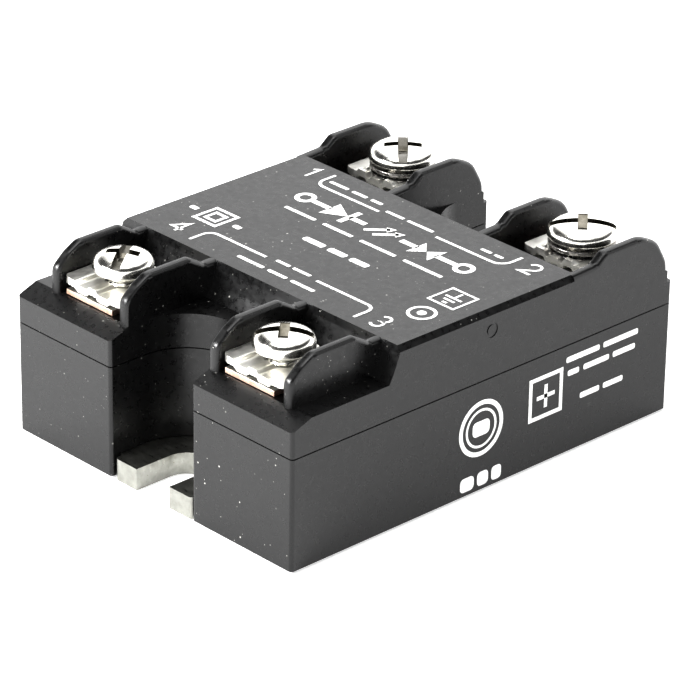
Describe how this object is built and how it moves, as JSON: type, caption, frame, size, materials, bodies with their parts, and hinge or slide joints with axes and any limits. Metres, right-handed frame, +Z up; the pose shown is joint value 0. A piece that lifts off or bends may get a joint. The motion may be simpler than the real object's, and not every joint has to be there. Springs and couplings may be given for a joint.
{
  "type": "solid state relay",
  "caption": "Panel-mount block relay with raised screw terminals between insulating barriers, notched ends and a metal base plate.",
  "frame": {"origin": "centre of the base plate's underside", "axes": "+Z up from the heatsink face, +Y towards the output end, +X across to the terminals 2 and 3 side"},
  "size_m": [0.0448, 0.0578, 0.0229],
  "materials": {
    "aluminium_plate": "satin rolled plate, sheared edges",
    "black_plastic": "satin moulded, fine grain",
    "nickel": "bright nickel plating, slightly warm",
    "steel": "plated spring steel",
    "copper": "bare copper",
    "ceramic": "fired alumina, matt",
    "silicon": "passivated silicon",
    "resin": "cast epoxy",
    "laminate": "solder-masked glass laminate",
    "component_black": "moulded component package",
    "resistor_body": "lacquered resistor body",
    "film_case": "dipped film capacitor case",
    "sleeve": "shrink sleeve over an aluminium can",
    "white_ink": "thin pad-printed ink for the terminal numbers and lines",
    "diode_glass": "amber glass package"
  },
  "bodies": {
    "housing": {"base_plate": "aluminium_plate", "lower_case": "black_plastic", "top_cover": "black_plastic", "ceramic_substrate": "ceramic", "copper_pad_1": "copper", "copper_pad_2": "copper", "potting_resin": "resin", "control_board": "laminate", "opto_coupler": "component_black", "bridge_rectifier": "component_black", "input_resistor_1": "resistor_body", "input_resistor_2": "resistor_body", "smoothing_capacitor": "sleeve", "regulator_transistor": "component_black", "zener_diode": "diode_glass", "snubber_capacitor": "film_case", "snubber_resistor": "resistor_body", "gate_resistor_1": "resistor_body", "gate_resistor_2": "resistor_body", "thyristor_chip_1": "silicon", "cathode_strap_1": "copper", "gate_wire_1": "copper", "thyristor_chip_2": "silicon", "cathode_strap_2": "copper", "gate_wire_2": "copper", "terminal_plate_1": "nickel", "terminal_plate_2": "nickel", "terminal_plate_3": "nickel", "terminal_plate_4": "nickel"},
    "clamp_1": {"clamp_plate_1": "nickel", "flat_washer_1": "steel", "lock_washer_1": "steel"},
    "clamp_2": {"clamp_plate_2": "nickel", "flat_washer_2": "steel", "lock_washer_2": "steel"},
    "clamp_3": {"clamp_plate_3": "nickel"},
    "clamp_4": {"clamp_plate_4": "nickel"},
    "screw_1": {"terminal_screw_1": "nickel"},
    "screw_2": {"terminal_screw_2": "nickel"},
    "screw_3": {"terminal_screw_3": "nickel"},
    "screw_4": {"terminal_screw_4": "nickel"}
  },
  "joints": [
    {"name": "screw_1_turn", "type": "hinge", "parent": "clamp_1", "child": "screw_1", "pos_m": [-0.01445, 0.0224, 0.021], "axis": [0, 0, 1], "range_deg": [0, 1440]},
    {"name": "clamp_1_lift", "type": "slide", "parent": "housing", "child": "clamp_1", "axis": [0, 0, 1], "range_m": [0, 0.00317]},
    {"name": "screw_2_turn", "type": "hinge", "parent": "clamp_2", "child": "screw_2", "pos_m": [0.01445, 0.0224, 0.021], "axis": [0, 0, 1], "range_deg": [0, 1440]},
    {"name": "clamp_2_lift", "type": "slide", "parent": "housing", "child": "clamp_2", "axis": [0, 0, 1], "range_m": [0, 0.00317]},
    {"name": "screw_3_turn", "type": "hinge", "parent": "clamp_3", "child": "screw_3", "pos_m": [0.0129, -0.0214, 0.02085], "axis": [0, 0, 1], "range_deg": [0, 1440]},
    {"name": "clamp_3_lift", "type": "slide", "parent": "housing", "child": "clamp_3", "axis": [0, 0, 1], "range_m": [0, 0.00317]},
    {"name": "screw_4_turn", "type": "hinge", "parent": "clamp_4", "child": "screw_4", "pos_m": [-0.0132, -0.0214, 0.02085], "axis": [0, 0, 1], "range_deg": [0, 1440]},
    {"name": "clamp_4_lift", "type": "slide", "parent": "housing", "child": "clamp_4", "axis": [0, 0, 1], "range_m": [0, 0.00317]}
  ],
  "couplings": [
    {"joint": "screw_1_turn", "follows": "clamp_1_lift", "rad_per_m": 7915.8},
    {"joint": "screw_2_turn", "follows": "clamp_2_lift", "rad_per_m": 7915.8},
    {"joint": "screw_3_turn", "follows": "clamp_3_lift", "rad_per_m": 7915.8},
    {"joint": "screw_4_turn", "follows": "clamp_4_lift", "rad_per_m": 7915.8}
  ]
}
